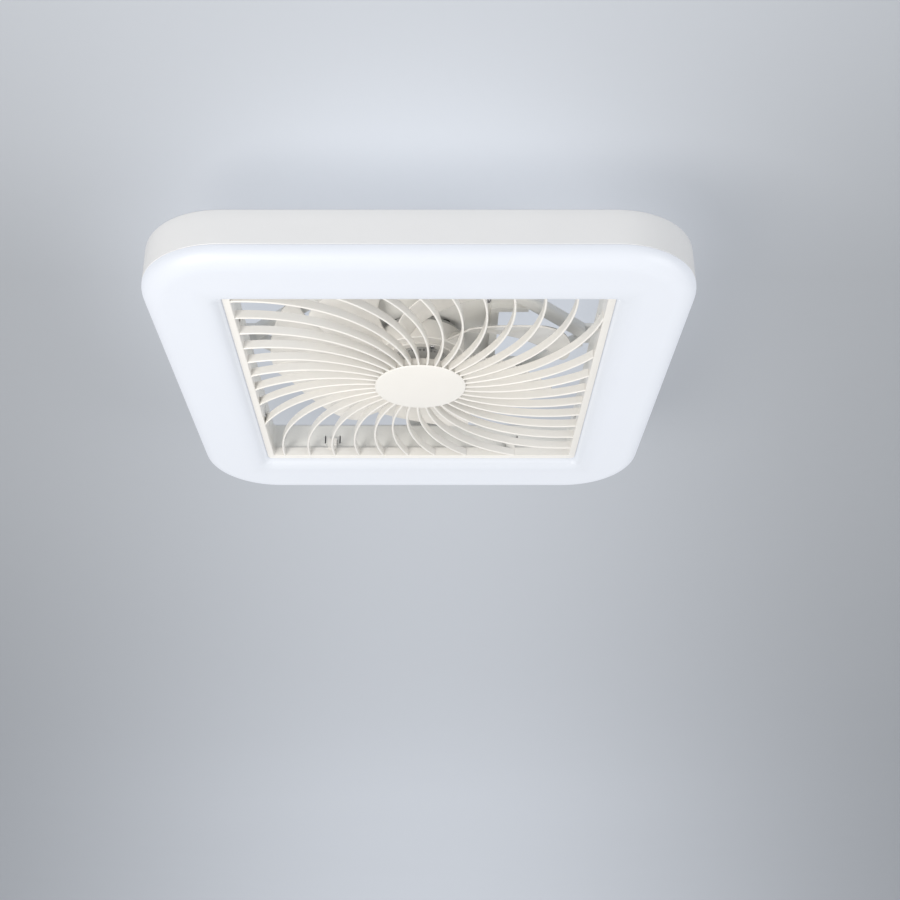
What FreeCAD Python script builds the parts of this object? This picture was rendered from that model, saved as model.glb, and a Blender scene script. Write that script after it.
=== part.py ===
import FreeCAD, Part
import math
import os

from FreeCAD import Vector

# Square flush ceiling fan light: a light ring round a square opening with a swirl grille,
# and a seven-blade impeller on an outer-rotor motor behind it.
#
# Every height below is measured up from the light's lowest face. save() lowers the finished
# pieces by DROP, so in the exported frame the ceiling face is at z = 0 and +Z is up.

DROP = 145.0                # ceiling face down to the light's lowest face

# light body
BODY_HALF = 250.0           # half the outside width
BODY_CORNER = 80.0
BODY_TOP = 52.4
SEAM = 15.8                 # height of the seam between the body shell and the diffuser
SEAM_GAP = 0.6
SHELL_WALL = 2.5
SHELL_EDGE_ROUND = 2.0

# diffuser
DIFFUSER_SKIN = 2.0
DIFFUSER_ROUND_OUT = 19.0   # width of the rounded outer edge
DIFFUSER_FLAT_OUT = 40.0    # how far the outer swept band reaches inwards
LIP_HALF = 179.5            # half width of the opening in the diffuser
LIP_CORNER = 6.0
LIP_RISE = 11.0             # the inner edge curves up by this much
LIP_ROUND = 12.0
LIP_TOP = 14.0
LIP_BAND = 20.0             # how far the inner swept band reaches outwards

# duct and grille
DUCT_HALF = 174.0           # inner face of the duct
DUCT_WALL = 2.0
DUCT_CORNER = 4.0
DUCT_BOTTOM = 12.0
DUCT_TOP = 49.9
SLIT_OFFSET = 104.0         # centre of each snap tongue along a duct wall
SLIT_SPACING = 17.0
SLIT = (1.6, 10.0, 27.0)    # width, height, lower end of the slits beside a tongue

GRILLE_CLEARANCE = 0.5
GRILLE_WALL = 2.0
GRILLE_LIP_HALF = 178.8
GRILLE_LIP = (9.8, 11.6)    # lower and upper face of the lip
GRILLE_TOP = 21.0
COLLAR_R = 44.5
COLLAR_WALL = 2.5
COLLAR_BOTTOM = 10.6
COLLAR_TOP = 20.0
RIB_COUNT = 35
RIB_THICKNESS = 2.0
RIB_BOTTOM = 10.0
RIB_TOP = 19.0
RIB_START_R = 43.0
RIB_START_ANGLE = 1.1       # where the first rib leaves the collar, degrees from +X
RIB_CURVE_R = 156.0         # arc that leaves the collar along the radius
RIB_SWEEP = 86.0            # enough of the arc to reach a corner of the square
CAP_R = 47.0
CAP_FACE = 7.6              # lowest point of the domed cap
CAP_EDGE = RIB_BOTTOM
CAP_SPIGOT_R = 40.0

# impeller and motor
BLADE_COUNT = 7
TIP_R = 154.0               # at the lower corner of a blade
TIP_GROWTH = 5.0            # how much further out the upper corner is
TIP_ROUNDING = 9.0
HUB_R = 46.5
HUB_BOTTOM = 43.0
HUB_TOP = 65.0
BLADE_SKIN = 2.2
BLADE_LOW_ANGLE = -33.0     # lower edge of the first blade at its tip, degrees from +X
BLADE_LOW_SWEEP = (0.19, 0.0013)
BLADE_ROOT_DEPTH = 72.0     # inside this distance from the tip the lower edge runs radially
BLADE_HIGH_ANGLE = 12.0     # upper edge of the first blade at its tip
BLADE_HIGH_SWEEP = (0.41, 0.004)
BLADE_LOW_Z = (43.5, 32.5)  # lower edge at the drum and at the tip
BLADE_HIGH_Z = (59.0, 58.0)
BLADE_CAMBER = 1.8
CAN_R = 30.0
CAN_WALL = 2.0
CAN_BOTTOM = 21.4
SHAFT_R = 5.0
SHAFT_BORE = 2.5
RUNNING_GAP = 0.05          # radial clearance of the bearings on the shaft
BEARING_R = 8.0
BEARING_WIDTH = 5.0

# rear frame, motor mounting and canopy
FRAME_TOP = 76.0
FRAME_SHEET = 3.0
BEAM_DEPTH = 10.0
BEAM_OUT = 190.0            # |x| + |y| along the outer side of a diagonal beam
BEAM_IN = 167.0
ARM_HALF = 18.0
ARM_END = 199.0
FOOT_END = 222.0
WINDOW_X = 80.0
WINDOW_Y = 52.0
MOTOR_PLATE_R = 44.0
MOTOR_PLATE = (66.0, 69.0)
CANOPY_HALF = 80.0
CANOPY_CORNER = 12.0
CANOPY_SHEET = 1.5
CANOPY_TOP = 143.5
PLATE_HALF = 74.0
PLATE_SHEET = 2.5
PLATE_FLANGE = 22.0
CEILING_HOLE_R = 2.75
CEILING_HOLE_OFFSET = 55.0
CABLE_R = 6.5

UP = Vector(0, 0, 1)


# ---------------------------------------------------------------- shape helpers

def save(node, *solids):
    """Write one node, lowered so that the ceiling face is at z = 0."""
    shape = solids[0] if len(solids) == 1 else Part.makeCompound(list(solids))
    shape = shape.copy()
    shape.translate(Vector(0, 0, -DROP))
    shape.exportStep("parts/%s.step" % node)
    print("%-18s solids %3d  valid %s  volume %9.1f mm3"
          % (node, len(shape.Solids), shape.isValid(), shape.Volume))


def block(x0, x1, y0, y1, z0, z1):
    return Part.makeBox(x1 - x0, y1 - y0, z1 - z0, Vector(x0, y0, z0))


def rod(radius, z0, z1, x=0.0, y=0.0):
    return Part.makeCylinder(radius, z1 - z0, Vector(x, y, z0))


def tube(outer, inner, z0, z1, x=0.0, y=0.0):
    return rod(outer, z0, z1, x, y).cut(rod(inner, z0 - 1, z1 + 1, x, y))


def fuse(first, *others):
    return first.fuse(list(others)).removeSplitter()


def polar(radius, degrees, z=0.0):
    angle = math.radians(degrees)
    return Vector(radius * math.cos(angle), radius * math.sin(angle), z)


def turned(shape, degrees):
    copy = shape.copy()
    copy.rotate(Vector(0, 0, 0), UP, degrees)
    return copy


def around(shape, count, first=0.0):
    return [turned(shape, first + 360.0 * k / count) for k in range(count)]


def prism(points, z0, z1):
    """Straight-sided prism over a closed outline of (x, y) points."""
    ring = [Vector(x, y, z0) for x, y in points]
    face = Part.Face(Part.makePolygon(ring + ring[:1]))
    return face.extrude(Vector(0, 0, z1 - z0))


def slab(half, corner, z0, z1):
    """Rounded square plate."""
    plate = block(-half, half, -half, half, z0, z1)
    upright = [e for e in plate.Edges if abs(e.tangentAt(e.FirstParameter).z) > 0.5]
    return plate.makeFillet(corner, upright)


def quarter(start, corner, end):
    """Quarter of an ellipse from start to end, tangent to the lines through corner."""
    curve = Part.BezierCurve()
    curve.setPoles([start, corner, end])
    curve.setWeight(2, math.sqrt(0.5))
    return curve.toShape()


def line(start, end):
    return Part.LineSegment(start, end).toShape()


def section(*steps):
    """Closed face in the plane y = 0 from corner points (d, z).

    A step is (d, z) for a straight run to that point, or (corner_d, corner_z, d, z) for a
    quarter ellipse to (d, z).
    """
    here = first = Vector(steps[0][0], 0, steps[0][1])
    edges = []
    for step in steps[1:]:
        there = Vector(step[-2], 0, step[-1])
        if len(step) == 4:
            edges.append(quarter(here, Vector(step[0], 0, step[1]), there))
        else:
            edges.append(line(here, there))
        here = there
    edges.append(line(here, first))
    return Part.Face(Part.Wire(edges))


def swept_ring(face, half, corner):
    """Carry a section round a rounded square path. Section d = 0 is on the path, d > 0 outside."""
    straight = half - corner
    side = face.copy()
    side.translate(Vector(half, -straight, 0))
    side = side.extrude(Vector(0, 2 * straight, 0))
    bend = face.copy()
    bend.translate(Vector(half, straight, 0))
    bend = bend.revolve(Vector(straight, straight, 0), UP, 90)
    pieces = around(side, 4) + around(bend, 4)
    return fuse(pieces[0], *pieces[1:])


def screw(x, y, z, length, radius=2.0, head=3.6, up=True):
    """Pan-head screw whose head rests on height z, with its shank going up or down."""
    way = 1 if up else -1
    shank = rod(radius, *sorted((z, z + way * length)), x, y)
    cap = rod(head, *sorted((z, z - way * 1.8)), x, y)
    return fuse(shank, cap)


def hexagon(across_flats, z0, z1):
    radius = across_flats / math.sqrt(3)
    corners = [(radius * math.cos(math.radians(60 * k)), radius * math.sin(math.radians(60 * k)))
               for k in range(6)]
    return prism(corners, z0, z1)


# ---------------------------------------------------------------- light body

def make_body_shell():
    bottom = SEAM + SEAM_GAP / 2
    r = SHELL_EDGE_ROUND
    wall = section((0, bottom), (0, BODY_TOP - r), (0, BODY_TOP, -r, BODY_TOP),
                   (-30, BODY_TOP), (-30, BODY_TOP - SHELL_WALL),
                   (-SHELL_WALL, BODY_TOP - SHELL_WALL), (-SHELL_WALL, bottom))
    rim = swept_ring(wall, BODY_HALF, BODY_CORNER)
    top = slab(BODY_HALF - 30, BODY_CORNER - 30, BODY_TOP - SHELL_WALL, BODY_TOP)
    hole = slab(DUCT_HALF + DUCT_WALL, DUCT_CORNER + DUCT_WALL, BODY_TOP - 10, BODY_TOP + 10)
    top = top.cut(hole)
    for x, y in foot_screw_places():
        top = top.cut(rod(2.2, BODY_TOP - 10, BODY_TOP + 10, x, y))
    return fuse(rim, top)


def make_diffuser():
    skin = DIFFUSER_SKIN
    seam = SEAM - SEAM_GAP / 2
    out = section((0, seam), (0, 0, -DIFFUSER_ROUND_OUT, 0), (-DIFFUSER_FLAT_OUT, 0),
                  (-DIFFUSER_FLAT_OUT, skin), (-DIFFUSER_ROUND_OUT, skin),
                  (-skin - 3, skin, -skin - 3, 9), (-skin - 3, 21), (-skin - 1, 21),
                  (-skin - 1, seam))
    outer = swept_ring(out, BODY_HALF, BODY_CORNER)
    inn = section((0, LIP_TOP), (0, LIP_RISE), (0, 0, LIP_ROUND, 0), (LIP_BAND, 0),
                  (LIP_BAND, skin), (LIP_ROUND + 1, skin), (skin, skin, skin, LIP_RISE),
                  (skin, LIP_TOP))
    inner = swept_ring(inn, LIP_HALF, LIP_CORNER)
    flat_out = slab(BODY_HALF - DIFFUSER_FLAT_OUT, BODY_CORNER - DIFFUSER_FLAT_OUT, 0, skin)
    flat = flat_out.cut(slab(LIP_HALF + LIP_BAND, LIP_CORNER + LIP_BAND, -1, skin + 1))
    return fuse(outer, flat, inner)


def make_led_tray():
    tray = section((-6, 30), (-6, 49.9), (-7.5, 49.9), (-7.5, 31.5), (-58, 31.5), (-58, 30))
    return swept_ring(tray, BODY_HALF, BODY_CORNER)


LED_ROW = 215.0             # distance of the light-emitting rows from the centre
LED_STRIP_LENGTH = 360.0
LED_PITCH = 15.0
LED_ROW_COUNT = 24


def make_led_strips():
    half = LED_STRIP_LENGTH / 2
    strip = block(LED_ROW - 8, LED_ROW + 8, -half, half, 28.4, 30)
    return around(strip, 4)


def make_led_chips():
    chips = []
    for k in range(LED_ROW_COUNT):
        y = (k - (LED_ROW_COUNT - 1) / 2) * LED_PITCH
        chip = block(LED_ROW - 1.75, LED_ROW + 1.75, y - 1.4, y + 1.4, 27.5, 28.4)
        chips += around(chip, 4)
    return chips


def make_diffuser_clips():
    """Snap clips that hook the diffuser's inner rim under the tray."""
    clips = []
    for offset in (-120, 0, 120):
        leg = block(239.5, 241.5, offset - 8, offset + 8, 14, 30)
        hook = block(241.5, 244.6, offset - 8, offset + 8, 18, 20)
        clips += around(fuse(leg, hook), 4)
    return clips


# ---------------------------------------------------------------- duct and grille

def make_duct():
    outer = DUCT_HALF + DUCT_WALL
    wall = slab(outer, DUCT_CORNER + DUCT_WALL, DUCT_BOTTOM, DUCT_TOP)
    flange = slab(outer + 12, DUCT_CORNER + DUCT_WALL + 6, DUCT_TOP - 2, DUCT_TOP)
    duct = fuse(wall, flange).cut(slab(DUCT_HALF, DUCT_CORNER, DUCT_BOTTOM - 1, DUCT_TOP + 1))
    width, height, low = SLIT
    cuts = []
    for centre in (-SLIT_OFFSET, SLIT_OFFSET):
        for side in (-0.5, 0.5):
            y = centre + side * SLIT_SPACING
            slit = block(DUCT_HALF - 2, outer + 2, y - width / 2, y + width / 2, low, low + height)
            cuts += around(slit, 4)
    return duct.cut(cuts)


def make_rib():
    """One rib: an arc-shaped wall with a rounded lower edge, long enough to reach a corner."""
    centre = Vector(RIB_START_R, -RIB_CURVE_R, 0)
    half = RIB_THICKNESS / 2
    profile = section((-half, RIB_TOP), (-half, RIB_BOTTOM + half),
                      (-half, RIB_BOTTOM, 0, RIB_BOTTOM), (half, RIB_BOTTOM, half, RIB_BOTTOM + half),
                      (half, RIB_TOP))
    profile.translate(Vector(RIB_CURVE_R, 0, 0))
    profile.rotate(Vector(0, 0, 0), UP, 90)
    profile.translate(centre)
    return profile.revolve(centre, UP, -RIB_SWEEP)


def make_grille():
    outer = DUCT_HALF - GRILLE_CLEARANCE
    inner = outer - GRILLE_WALL
    spigot = slab(outer, DUCT_CORNER - GRILLE_CLEARANCE, GRILLE_LIP[1] - 0.5, GRILLE_TOP)
    lip = slab(GRILLE_LIP_HALF, LIP_CORNER - 1, *GRILLE_LIP)
    hole = slab(inner, 2.0, 0, GRILLE_TOP + 1)
    frame = fuse(spigot, lip).cut(hole)
    collar = tube(COLLAR_R, COLLAR_R - COLLAR_WALL, COLLAR_BOTTOM, COLLAR_TOP)
    floor = rod(COLLAR_R - 1, COLLAR_BOTTOM, COLLAR_BOTTOM + 2)
    window = slab(inner + 0.5, 2.2, 0, GRILLE_TOP + 1)
    ribs = [rib.common(window) for rib in around(make_rib(), RIB_COUNT, RIB_START_ANGLE)]
    return fuse(frame, fuse(collar, floor), *ribs)


def make_hub_cap():
    """Shallow domed disc that snaps over the collar, with a short spigot behind it."""
    rise = CAP_EDGE - CAP_FACE
    sphere_r = (CAP_R ** 2 + rise ** 2) / (2 * rise)
    dome = Part.makeSphere(sphere_r, Vector(0, 0, CAP_FACE + sphere_r))
    disc = rod(CAP_R, CAP_FACE - 1, CAP_EDGE).common(dome)
    spigot = tube(CAP_SPIGOT_R, CAP_SPIGOT_R - 4, CAP_EDGE - 0.6, COLLAR_BOTTOM)
    return fuse(disc, spigot)


def make_grille_clips():
    """Spring clips behind the grille frame, one beside each snap tongue of the duct."""
    inner = DUCT_HALF - GRILLE_CLEARANCE - GRILLE_WALL
    clips = []
    for centre in (-SLIT_OFFSET, SLIT_OFFSET):
        leg = block(inner - 1.0, inner, centre - 5, centre + 5, RIB_TOP + 0.2, 32)
        barb = block(inner - 0.5, DUCT_HALF - 0.6, centre - 5, centre + 5, 29, 31)
        clips += around(fuse(leg, barb), 4)
    return clips


# ---------------------------------------------------------------- impeller

def low_edge(radius):
    """Angle of a blade's lower edge; it sweeps back from the tip, then runs to the drum."""
    inward = min(TIP_R - radius, BLADE_ROOT_DEPTH)
    return BLADE_LOW_ANGLE - BLADE_LOW_SWEEP[0] * inward - BLADE_LOW_SWEEP[1] * inward ** 2


def high_edge(radius):
    """Angle of a blade's upper edge; it sweeps back faster near the drum."""
    inward = TIP_R - radius
    near_drum = max(inward - BLADE_ROOT_DEPTH, 0.0)
    return BLADE_HIGH_ANGLE - BLADE_HIGH_SWEEP[0] * inward - BLADE_HIGH_SWEEP[1] * near_drum ** 2


def blade_point(radius, share, height):
    """Point over the blade at a radius, share 0 at the lower edge and 1 at the upper."""
    low, high = low_edge(radius), high_edge(radius)
    return polar(radius, low + (high - low) * share, height)


def blade_height(radius, share):
    """Height of the blade's underside."""
    out = (radius - HUB_R) / (TIP_R - HUB_R)
    low = BLADE_LOW_Z[0] + (BLADE_LOW_Z[1] - BLADE_LOW_Z[0]) * out
    high = BLADE_HIGH_Z[0] + (BLADE_HIGH_Z[1] - BLADE_HIGH_Z[0]) * out
    camber = BLADE_CAMBER * math.sin(math.pi * min(max(share, 0.0), 1.0))
    return low + (high - low) * share + camber


def make_blade():
    radii = [HUB_R - 5, 52, 64, 78, 96, 115, 135, TIP_R + TIP_GROWTH + 5]
    shares = [-0.08, 0.1, 0.3, 0.5, 0.7, 0.9, 1.08]
    grid = [[blade_point(r, s, blade_height(r, s)) for s in shares] for r in radii]
    surface = Part.BSplineSurface()
    surface.interpolate(grid)
    skin = surface.toShape().extrude(Vector(0, 0, BLADE_SKIN))
    return skin.common(blade_outline())


def blade_outline():
    """Upright prism over the blade's plan shape, with rounded tip corners."""
    edge_radii = [HUB_R - 4, 56, 70, 86, 104, 122, 139]
    tip = []
    for share in (0.03, 0.12, 0.3, 0.5, 0.7, 0.88, 0.97):
        radius = TIP_R + TIP_GROWTH * share - TIP_ROUNDING * abs(2 * share - 1) ** 8
        tip.append(blade_point(radius, share, 0))
    lower = [blade_point(r, 0, 0) for r in edge_radii]
    upper = [blade_point(r, 1, 0) for r in reversed(edge_radii)]
    curve = Part.BSplineCurve()
    curve.interpolate(lower + tip + upper)
    edge = curve.toShape()
    outline = Part.Wire([edge, line(upper[-1], lower[0])])
    return Part.Face(outline).extrude(Vector(0, 0, 2 * BODY_TOP))


def make_impeller():
    drum = tube(HUB_R, HUB_R - 2.5, HUB_BOTTOM, HUB_TOP)
    floor = rod(HUB_R - 1, HUB_BOTTOM, HUB_BOTTOM + 2.5)
    boss = rod(BEARING_R + 3, HUB_BOTTOM, HUB_BOTTOM + 9)
    body = fuse(drum, floor, boss)
    webs = [turned(block(BEARING_R + 2, HUB_R - 1, -0.9, 0.9, HUB_BOTTOM + 2, HUB_BOTTOM + 8), 45 * k)
            for k in range(8)]
    body = fuse(body, *webs)
    blade = make_blade()
    cuff = rod(HUB_R - 1, 0, 2 * BODY_TOP)
    blades = [b.cut(cuff) for b in around(blade, BLADE_COUNT)]
    body = fuse(body, *blades)
    body = body.cut(rod(SHAFT_R + 1, HUB_BOTTOM - 1, HUB_TOP + 1))
    seat = rod(BEARING_R, HUB_BOTTOM + 2, HUB_BOTTOM + 2 + BEARING_WIDTH)
    body = body.cut(seat)
    for screw_hole in around(rod(1.5, HUB_BOTTOM - 1, HUB_BOTTOM + 4, 33, 0), 4, 22.5):
        body = body.cut(screw_hole)
    return body


# ---------------------------------------------------------------- motor

def make_rotor_can():
    side = tube(CAN_R, CAN_R - CAN_WALL, CAN_BOTTOM, HUB_BOTTOM - 2)
    base = rod(CAN_R - 1, CAN_BOTTOM, CAN_BOTTOM + CAN_WALL)
    flange = tube(37, CAN_R - CAN_WALL, HUB_BOTTOM - 2, HUB_BOTTOM)
    boss = rod(BEARING_R + 2.5, CAN_BOTTOM, CAN_BOTTOM + CAN_WALL + BEARING_WIDTH)
    can = fuse(side, base, flange, boss)
    can = can.cut(rod(SHAFT_R + 0.6, CAN_BOTTOM - 1, HUB_BOTTOM))
    can = can.cut(rod(BEARING_R, CAN_BOTTOM + CAN_WALL, HUB_BOTTOM))
    vents = around(block(CAN_R - 5, CAN_R + 2, -2.2, 2.2, 25, 27.2), 18)
    base_vents = around(block(14, 23, -2.0, 2.0, CAN_BOTTOM - 1, CAN_BOTTOM + 3), 9)
    can = can.cut(vents + base_vents)
    for hole in around(rod(1.9, HUB_BOTTOM - 4, HUB_BOTTOM + 1, 33, 0), 4, 22.5):
        can = can.cut(hole)
    return can


def make_bearing(z0):
    """Sealed ball bearing; its bore runs on the fixed shaft."""
    return tube(BEARING_R, SHAFT_R + RUNNING_GAP, z0, z0 + BEARING_WIDTH)


STATOR = (31.5, 38.5)


def make_stator_core():
    z0, z1 = STATOR
    yoke = tube(12, SHAFT_R, z0, z1)
    tooth = fuse(block(11, 22, -2, 2, z0, z1), block(21.5, 24.5, -6, 6, z0, z1))
    tooth = tooth.common(rod(24.6, z0, z1))
    return fuse(yoke, *around(tooth, 9))


def make_windings():
    z0, z1 = STATOR
    coil = block(12.6, 21.2, -3.8, 3.8, z0 - 2.0, z1 + 1.6)
    coil = coil.cut(block(12, 22, -2, 2, z0, z1))
    gap = tube(30, 12.5, z0 - 5, z1 + 5)
    return [turned(coil.common(gap), 40 * k) for k in range(9)]


def make_shaft():
    lower = tube(SHAFT_R, SHAFT_BORE, CAN_BOTTOM - 1.9, 95)
    flange = tube(9, SHAFT_R - 1, 57, MOTOR_PLATE[0])
    return fuse(lower, flange)


def make_motor_plate():
    plate = rod(MOTOR_PLATE_R, *MOTOR_PLATE)
    plate = plate.cut(rod(SHAFT_R, 60, 80))
    for hole in around(rod(4, 60, 80, 34, 0), 4, 45):
        plate = plate.cut(hole)
    slots = around(block(16, 26, -3, 3, 60, 80), 4)
    return plate.cut(slots)


def make_isolators():
    """Rubber bushes that carry the motor plate under the rear frame."""
    z0, z1 = MOTOR_PLATE
    bush = fuse(tube(4, 2.2, z0, z1), tube(7, 2.2, z1, FRAME_TOP - FRAME_SHEET))
    return [turned(moved(bush, 34, 0), 45 + 90 * k) for k in range(4)]


def moved(shape, x, y, z=0.0):
    copy = shape.copy()
    copy.translate(Vector(x, y, z))
    return copy


# ---------------------------------------------------------------- rear frame and canopy

def diamond(reach, z0, z1):
    return prism([(reach, 0), (0, reach), (-reach, 0), (0, -reach)], z0, z1)


def foot_screw_places():
    places = []
    for k in range(4):
        for side in (-10, 10):
            spot = polar(math.hypot(FOOT_END - 11, side), 90 * k + math.degrees(
                math.atan2(side, FOOT_END - 11)))
            places.append((spot.x, spot.y))
    return places


def make_rear_frame():
    low = FRAME_TOP - FRAME_SHEET
    beam_low = FRAME_TOP - BEAM_DEPTH
    core = block(-ARM_END + 27, ARM_END - 27, -ARM_END + 27, ARM_END - 27, beam_low, FRAME_TOP)
    plate = diamond(BEAM_OUT, low, FRAME_TOP).common(core)
    beam = diamond(BEAM_OUT, beam_low, low)
    beam = beam.cut(diamond(BEAM_IN, beam_low - 1, low + 1))
    under = [e for e in beam.Edges if abs(e.BoundBox.ZMax - beam_low) < 0.01]
    beam = beam.makeFillet(5.5, under).common(core)
    arms = []
    for k in range(4):
        arm = block(140, ARM_END, -ARM_HALF, ARM_HALF, low, FRAME_TOP)
        arm = arm.cut(diamond(BEAM_IN, low - 1, FRAME_TOP + 1))
        leg = block(ARM_END - 3, ARM_END, -ARM_HALF, ARM_HALF, BODY_TOP, FRAME_TOP)
        foot = block(ARM_END - 3, FOOT_END, -ARM_HALF, ARM_HALF, BODY_TOP, BODY_TOP + 3)
        arms.append(turned(fuse(arm, leg, foot), 90 * k))
    frame = fuse(plate, beam, *arms)
    lip_low = low - 4
    for side in (0, 180):
        rim = fuse(block(WINDOW_X - 8, WINDOW_X, -WINDOW_Y - 8, WINDOW_Y + 8, lip_low, low),
                   block(WINDOW_X - 1, WINDOW_X + 30, WINDOW_Y, WINDOW_Y + 8, lip_low, low),
                   block(WINDOW_X - 1, WINDOW_X + 30, -WINDOW_Y - 8, -WINDOW_Y, lip_low, low))
        frame = frame.fuse(turned(rim, side))
    window = prism([(WINDOW_X, -WINDOW_Y), (BEAM_IN - WINDOW_Y, -WINDOW_Y), (BEAM_IN, 0),
                    (BEAM_IN - WINDOW_Y, WINDOW_Y), (WINDOW_X, WINDOW_Y)], beam_low - 2, FRAME_TOP + 2)
    upright = [e for e in window.Edges if abs(e.tangentAt(e.FirstParameter).z) > 0.5]
    window = window.makeFillet(9, upright)
    frame = frame.cut([window, turned(window, 180)]).removeSplitter()
    holes = [rod(SHAFT_R + 0.2, 50, 90)]
    holes += around(rod(2.2, 50, 90, 34, 0), 4, 45)
    holes += [rod(2.2, 50, 90, x, y) for x, y in canopy_base_places()]
    holes += [rod(2.2, 50, 60, x, y) for x, y in foot_screw_places()]
    return frame.cut(holes)


def canopy_base_places():
    return [(x, y) for x in (-68, 68) for y in (-68, 68)]


def make_canopy():
    outer = slab(CANOPY_HALF, CANOPY_CORNER, FRAME_TOP, CANOPY_TOP)
    inner = slab(CANOPY_HALF - CANOPY_SHEET, CANOPY_CORNER - CANOPY_SHEET,
                 FRAME_TOP + CANOPY_SHEET, CANOPY_TOP + 1)
    canopy = outer.cut(inner)
    holes = [rod(SHAFT_R + 0.2, 70, 90)]
    holes += [rod(2.2, 70, 90, x, y) for x, y in canopy_base_places()]
    holes += around(sideways(rod(2.2, 70, 90)), 4)
    return canopy.cut(holes)


CANOPY_SCREW_HEIGHT = 132.0


def sideways(shape):
    """Lay an upright shape along +X at the height of the canopy screws."""
    copy = shape.copy()
    copy.rotate(Vector(0, 0, 0), Vector(0, 1, 0), 90)
    copy.translate(Vector(0, 0, CANOPY_SCREW_HEIGHT))
    return copy


def make_canopy_screws():
    inner_end = PLATE_HALF - 4
    body = fuse(rod(2.0, inner_end, CANOPY_HALF), rod(3.8, CANOPY_HALF, CANOPY_HALF + 2))
    return around(sideways(body), 4)


def make_ceiling_plate():
    plate = slab(PLATE_HALF, 8, DROP - PLATE_SHEET, DROP)
    flange = block(PLATE_HALF - PLATE_SHEET, PLATE_HALF, -50, 50, DROP - PLATE_FLANGE, DROP - 1)
    plate = fuse(plate, *around(flange, 4))
    holes = [rod(10, DROP - 10, DROP + 1)]
    holes += [rod(CEILING_HOLE_R, DROP - 10, DROP + 1, x, y)
              for x in (-CEILING_HOLE_OFFSET, CEILING_HOLE_OFFSET)
              for y in (-CEILING_HOLE_OFFSET, CEILING_HOLE_OFFSET)]
    holes += around(sideways(rod(2.0, 60, 80)), 4)
    return plate.cut(holes)


def make_grommet():
    low = DROP - PLATE_SHEET
    return fuse(tube(10, CABLE_R, low, DROP), tube(13, CABLE_R, low - 2.5, low))


def make_terminal_block():
    base = FRAME_TOP + CANOPY_SHEET
    body = block(12, 60, -64, -42, base, base + 16)
    for k in range(3):
        x = 20 + 16 * k
        body = body.cut(rod(3, base + 10, base + 17, x, -58))
        body = body.cut(rod(3, base + 10, base + 17, x, -48))
    return body


def make_led_driver():
    base = FRAME_TOP + CANOPY_SHEET
    return block(-62, 50, 20, 66, base, base + 28)


def make_fan_controller():
    base = FRAME_TOP + CANOPY_SHEET
    return block(-60, -2, -66, -20, base, base + 22)


# ---------------------------------------------------------------- write every node

def main():
    os.makedirs("parts", exist_ok=True)
    save("body_shell", make_body_shell())
    save("diffuser_ring", make_diffuser())
    save("led_tray", make_led_tray())
    save("led_strips", *make_led_strips())
    save("led_chips", *make_led_chips())
    save("diffuser_clips", *make_diffuser_clips())
    save("inner_duct", make_duct())
    save("grille", make_grille())
    save("hub_cap", make_hub_cap())
    save("grille_clips", *make_grille_clips())
    save("impeller", make_impeller())
    save("rotor_can", make_rotor_can())
    save("magnet_ring", tube(CAN_R - CAN_WALL, 25.4, 30, 40.5))
    save("bearing_lower", make_bearing(CAN_BOTTOM + CAN_WALL))
    save("bearing_upper", make_bearing(HUB_BOTTOM + 2))
    save("can_screws", *[turned(moved(screw(0, 0, HUB_BOTTOM - 2, 6, 1.5, 2.8), 33, 0), 22.5 + 90 * k)
                         for k in range(4)])
    save("motor_shaft", make_shaft())
    save("end_clip", tube(8, SHAFT_R, CAN_BOTTOM - 1.6, CAN_BOTTOM - 0.6))
    save("stator_core", make_stator_core())
    save("windings", *make_windings())
    save("stator_board", tube(20, 6, STATOR[1] + 1.8, STATOR[1] + 3.0))
    save("motor_plate", make_motor_plate())
    save("isolators", *make_isolators())
    save("motor_screws", *[turned(moved(screw(0, 0, MOTOR_PLATE[0], 9.5), 34, 0), 45 + 90 * k)
                           for k in range(4)])
    base = FRAME_TOP + CANOPY_SHEET
    save("shaft_nut", hexagon(17, base, base + 5).cut(rod(SHAFT_R, 70, 90)))
    save("rear_frame", make_rear_frame())
    save("foot_screws", *[screw(x, y, BODY_TOP + 3, 7, up=False) for x, y in foot_screw_places()])
    save("frame_screws", *[screw(x, y, FRAME_TOP - FRAME_SHEET, 9)
                           for x, y in canopy_base_places()])
    save("canopy", make_canopy())
    save("canopy_screws", *make_canopy_screws())
    save("ceiling_plate", make_ceiling_plate())
    save("cable_grommet", make_grommet())
    save("terminal_block", make_terminal_block())
    save("led_driver", make_led_driver())
    save("fan_controller", make_fan_controller())


main()
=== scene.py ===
import math

import bmesh
import bpy
from bpy.props import FloatProperty, FloatVectorProperty, IntProperty, PointerProperty
from mathutils import Matrix, Vector


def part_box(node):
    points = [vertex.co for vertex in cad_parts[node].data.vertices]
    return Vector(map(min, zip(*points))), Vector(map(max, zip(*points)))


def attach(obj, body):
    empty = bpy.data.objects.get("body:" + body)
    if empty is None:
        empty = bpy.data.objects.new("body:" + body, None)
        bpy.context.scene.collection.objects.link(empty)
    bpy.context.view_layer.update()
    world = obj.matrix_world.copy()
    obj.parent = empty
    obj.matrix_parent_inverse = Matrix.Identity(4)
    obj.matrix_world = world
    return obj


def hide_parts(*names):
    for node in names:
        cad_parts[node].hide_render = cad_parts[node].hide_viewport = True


bl_info = {
    "name": "Square ceiling fan light",
    "version": (1, 0, 0),
    "blender": (4, 5, 0),
    "location": "View3D > Sidebar > Fan Light",
    "description": "Builds the visible pieces of a square ceiling fan light round its packed frame",
    "category": "Add Mesh",
}

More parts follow.
